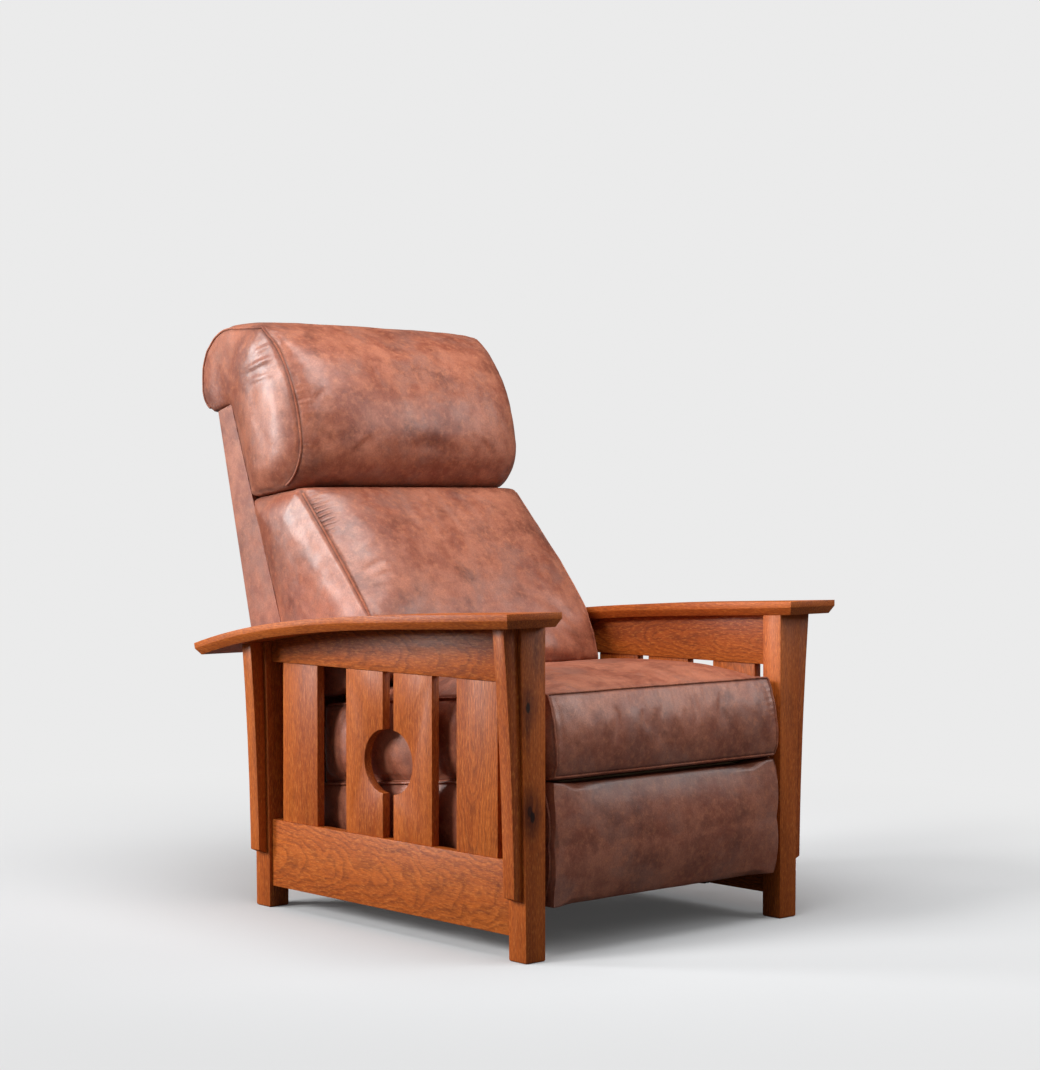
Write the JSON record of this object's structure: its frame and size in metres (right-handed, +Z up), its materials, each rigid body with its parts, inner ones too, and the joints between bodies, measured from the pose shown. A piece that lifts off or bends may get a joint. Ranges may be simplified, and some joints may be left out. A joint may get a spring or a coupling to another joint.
{
  "type": "mission reclining armchair",
  "caption": "Reclining armchair with an open slatted wooden frame, bowed wide arms, corbels, padded seat and back, head roll and fold-out footrest.",
  "frame": {"origin": "on the floor, midway across the chair and midway along its whole depth", "axes": "+Z up, the chair faces -Y, +X to the sitter's left"},
  "size_m": [0.833, 1.102, 1.143],
  "materials": {
    "oak": "satin brown stain",
    "inner_wood": "raw",
    "leather": "soft brown, lightly mottled",
    "webbing": "woven",
    "steel": "black"
  },
  "bodies": {
    "frame": {"front_cross_rail": "oak", "left_arm": "oak", "left_bottom_rail": "oak", "left_front_corbel": "oak", "left_front_cut_slat": "oak", "left_front_post": "oak", "left_front_slat": "oak", "left_rear_corbel": "oak", "left_rear_cut_slat": "oak", "left_rear_post": "oak", "left_rear_slat": "oak", "left_seat_side_rail": "inner_wood", "left_seat_skirt": "leather", "left_side_plate": "steel", "left_top_rail": "oak", "plate_screws": "steel", "rear_cross_rail": "oak", "right_arm": "oak", "right_bottom_rail": "oak", "right_front_corbel": "oak", "right_front_cut_slat": "oak", "right_front_post": "oak", "right_front_slat": "oak", "right_rear_corbel": "oak", "right_rear_cut_slat": "oak", "right_rear_post": "oak", "right_rear_slat": "oak", "right_seat_side_rail": "inner_wood", "right_seat_skirt": "leather", "right_side_plate": "steel", "right_top_rail": "oak", "seat_cushion": "leather", "seat_front_rail": "inner_wood", "seat_rear_rail": "inner_wood", "seat_webbing": "webbing"},
    "back": {"outside_back": "leather", "left_back_stile": "inner_wood", "right_back_stile": "inner_wood", "back_rails": "inner_wood", "back_webbing": "webbing", "back_cushion": "leather", "headrest_roll": "leather", "left_back_bracket": "steel", "right_back_bracket": "steel", "back_screws": "steel"},
    "main_links": {"left_main_link": "steel", "right_main_link": "steel", "torque_tube": "steel"},
    "guide_links": {"left_guide_link": "steel", "right_guide_link": "steel"},
    "lift_links": {"left_lift_link": "steel", "right_lift_link": "steel"},
    "tilt_links": {"left_tilt_link": "steel", "right_tilt_link": "steel"},
    "footrest": {"footrest_board": "inner_wood", "footrest_pad": "leather", "left_foot_bracket": "steel", "right_foot_bracket": "steel"}
  },
  "joints": [
    {"name": "back_recline", "type": "hinge", "parent": "frame", "child": "back", "pos_m": [0, 0.186, 0.29], "axis": [-1, 0, 0], "range_deg": [0, 30]},
    {"name": "leg_rest", "type": "hinge", "parent": "frame", "child": "main_links", "pos_m": [0, -0.403, 0.2055], "axis": [-1, 0, 0], "range_deg": [0, 92]},
    {"name": "guide_link_hinge", "type": "hinge", "parent": "frame", "child": "guide_links", "pos_m": [0, -0.4525, 0.208], "axis": [-1, 0, 0], "range_deg": [0, 92]},
    {"name": "lift_link_hinge", "type": "hinge", "parent": "main_links", "child": "lift_links", "pos_m": [0, -0.3275, 0.0635], "axis": [-1, 0, 0], "range_deg": [-92, 0]},
    {"name": "tilt_link_hinge", "type": "hinge", "parent": "main_links", "child": "tilt_links", "pos_m": [0, -0.3275, 0.1055], "axis": [-1, 0, 0], "range_deg": [-92, 0]},
    {"name": "footrest_hinge", "type": "hinge", "parent": "lift_links", "child": "footrest", "pos_m": [0, -0.4405, 0.228], "axis": [-1, 0, 0], "range_deg": [0, 92]}
  ],
  "couplings": [
    {"joint": "guide_link_hinge", "follows": "leg_rest", "ratio": 1},
    {"joint": "lift_link_hinge", "follows": "leg_rest", "ratio": -1},
    {"joint": "tilt_link_hinge", "follows": "leg_rest", "ratio": -1},
    {"joint": "footrest_hinge", "follows": "leg_rest", "ratio": 1}
  ]
}
